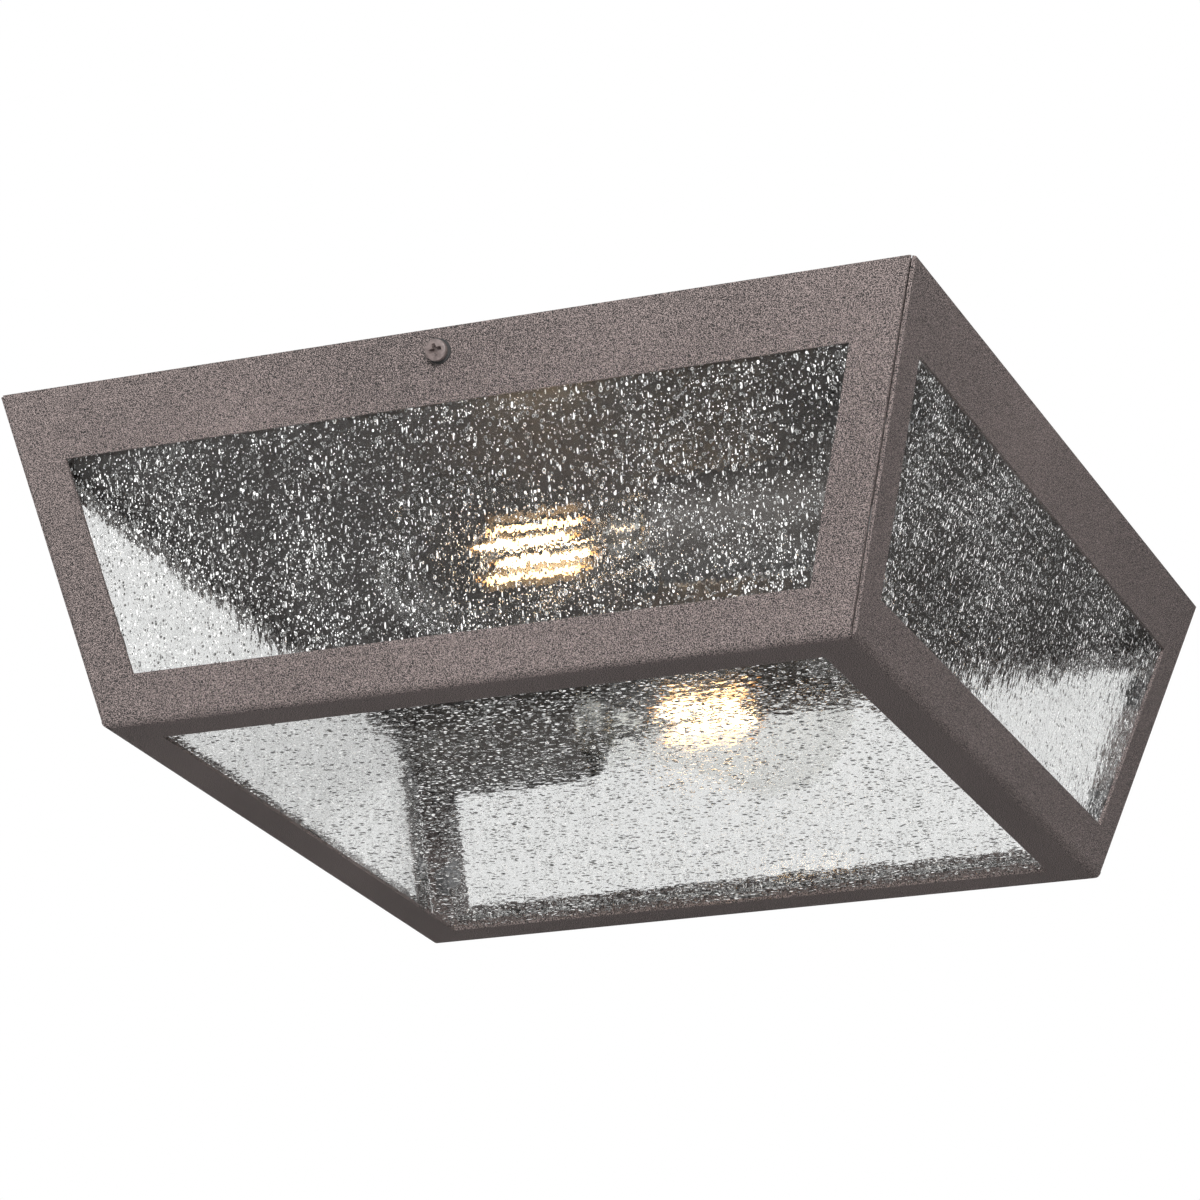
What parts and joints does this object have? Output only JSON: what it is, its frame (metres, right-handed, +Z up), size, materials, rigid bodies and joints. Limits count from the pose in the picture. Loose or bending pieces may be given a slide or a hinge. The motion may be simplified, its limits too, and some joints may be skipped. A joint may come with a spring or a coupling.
{
  "type": "outdoor flush mount ceiling light",
  "caption": "Square tapered flush mount ceiling light: folded steel cage with seeded glass panes, shallow canopy, and level screw-in lamps head to tail.",
  "frame": {"origin": "centre of the square footprint, in the ceiling plane that the light is fixed against", "axes": "+Z up into the ceiling; -Y is the wall with the front cage screw; X runs along the crossbar and both lamps"},
  "size_m": [0.3048, 0.3088, 0.105],
  "materials": {
    "bronze_texture_paint": "deep bronze fine-texture powder coat, satin",
    "bronze_smooth_paint": "deep bronze powder coat, semi-gloss",
    "seeded_pane_glass": "clear seeded glass with small bubbles",
    "spring_steel": "bright spring steel",
    "zinc_plated_steel": "zinc plated",
    "rivet_aluminium": "plain",
    "ground_screw_green": "green dyed zinc plate",
    "bushing_nylon": "black nylon",
    "gasket_foam": "closed-cell foam",
    "seal_rubber": "black rubber",
    "holder_moulding": "black phenolic moulding",
    "screw_shell_metal": "drawn shell",
    "contact_brass": "plain brass",
    "lamp_base_metal": "nickel-plated brass look",
    "lamp_contact_metal": "soldered contact",
    "base_insulator": "black vitrified insulator",
    "clear_lamp_glass": "clear blown glass",
    "stem_glass": "clear pressed glass",
    "filament_phosphor": "lit phosphor coat",
    "support_wire": "nickel wire"
  },
  "bodies": {
    "fixture": {"cage": "bronze_texture_paint", "glass_front": "seeded_pane_glass", "glass_right": "seeded_pane_glass", "glass_back": "seeded_pane_glass", "glass_left": "seeded_pane_glass", "glass_bottom": "seeded_pane_glass", "clips_front": "spring_steel", "clips_right": "spring_steel", "clips_back": "spring_steel", "clips_left": "spring_steel", "clips_bottom": "spring_steel", "canopy": "bronze_smooth_paint", "ceiling_gasket": "gasket_foam", "clinch_nuts": "zinc_plated_steel", "crossbar": "zinc_plated_steel", "mounting_studs": "zinc_plated_steel", "stud_washers": "zinc_plated_steel", "cap_nuts": "bronze_smooth_paint", "ground_screw": "ground_screw_green", "wire_bushing": "bushing_nylon", "bracket_rivets": "rivet_aluminium", "holder_bracket_a": "bronze_smooth_paint", "holder_cup_a": "bronze_smooth_paint", "holder_body_a": "holder_moulding", "holder_shell_a": "screw_shell_metal", "centre_contact_a": "contact_brass", "holder_nipple_a": "zinc_plated_steel", "nipple_nuts_a": "zinc_plated_steel", "terminal_screws_a": "contact_brass", "holder_bracket_b": "bronze_smooth_paint", "holder_cup_b": "bronze_smooth_paint", "holder_body_b": "holder_moulding", "holder_shell_b": "screw_shell_metal", "centre_contact_b": "contact_brass", "holder_nipple_b": "zinc_plated_steel", "nipple_nuts_b": "zinc_plated_steel", "terminal_screws_b": "contact_brass"},
    "lamp_a_draw": {"lamp_button_a": "lamp_contact_metal", "lamp_insulator_a": "base_insulator"},
    "lamp_a": {"lamp_base_a": "lamp_base_metal", "lamp_glass_a": "clear_lamp_glass", "lamp_stem_a": "stem_glass", "lamp_filaments_a": "filament_phosphor", "lamp_wires_a": "support_wire"},
    "lamp_b_draw": {"lamp_button_b": "lamp_contact_metal", "lamp_insulator_b": "base_insulator"},
    "lamp_b": {"lamp_base_b": "lamp_base_metal", "lamp_glass_b": "clear_lamp_glass", "lamp_stem_b": "stem_glass", "lamp_filaments_b": "filament_phosphor", "lamp_wires_b": "support_wire"},
    "screw_front_draw": {"screw_seal_front": "seal_rubber"},
    "screw_front": {"cage_screw_front": "bronze_texture_paint"},
    "screw_back_draw": {"screw_seal_back": "seal_rubber"},
    "screw_back": {"cage_screw_back": "bronze_texture_paint"}
  },
  "joints": [
    {"name": "lamp_a_travel", "type": "slide", "parent": "fixture", "child": "lamp_a_draw", "axis": [-1, 0, 0], "range_m": [0, 0.0135]},
    {"name": "lamp_a_turn", "type": "hinge", "parent": "lamp_a_draw", "child": "lamp_a", "pos_m": [0.072, -0.079, -0.0455], "axis": [-1, 0, 0], "range_deg": [0, 1339.2]},
    {"name": "lamp_b_travel", "type": "slide", "parent": "fixture", "child": "lamp_b_draw", "axis": [1, 0, 0], "range_m": [0, 0.0135]},
    {"name": "lamp_b_turn", "type": "hinge", "parent": "lamp_b_draw", "child": "lamp_b", "pos_m": [-0.072, 0.079, -0.0455], "axis": [1, 0, 0], "range_deg": [0, 1339.2]},
    {"name": "screw_front_travel", "type": "slide", "parent": "fixture", "child": "screw_front_draw", "axis": [0, -0.9644, -0.2645], "range_m": [0, 0.0062]},
    {"name": "screw_front_turn", "type": "hinge", "parent": "screw_front_draw", "child": "screw_front", "pos_m": [0, -0.15052, -0.00723], "axis": [0, -0.9644, -0.2645], "range_deg": [0, 2819.1]},
    {"name": "screw_back_travel", "type": "slide", "parent": "fixture", "child": "screw_back_draw", "axis": [0, 0.9644, -0.2645], "range_m": [0, 0.0062]},
    {"name": "screw_back_turn", "type": "hinge", "parent": "screw_back_draw", "child": "screw_back", "pos_m": [0, 0.15052, -0.00723], "axis": [0, 0.9644, -0.2645], "range_deg": [0, 2819.1]}
  ],
  "couplings": [
    {"joint": "lamp_a_travel", "follows": "lamp_a_turn", "m_per_rad": 0.00057757},
    {"joint": "lamp_b_travel", "follows": "lamp_b_turn", "m_per_rad": 0.00057757},
    {"joint": "screw_front_turn", "follows": "screw_front_travel", "rad_per_m": 7913.3},
    {"joint": "screw_back_turn", "follows": "screw_back_travel", "rad_per_m": 7913.3}
  ]
}
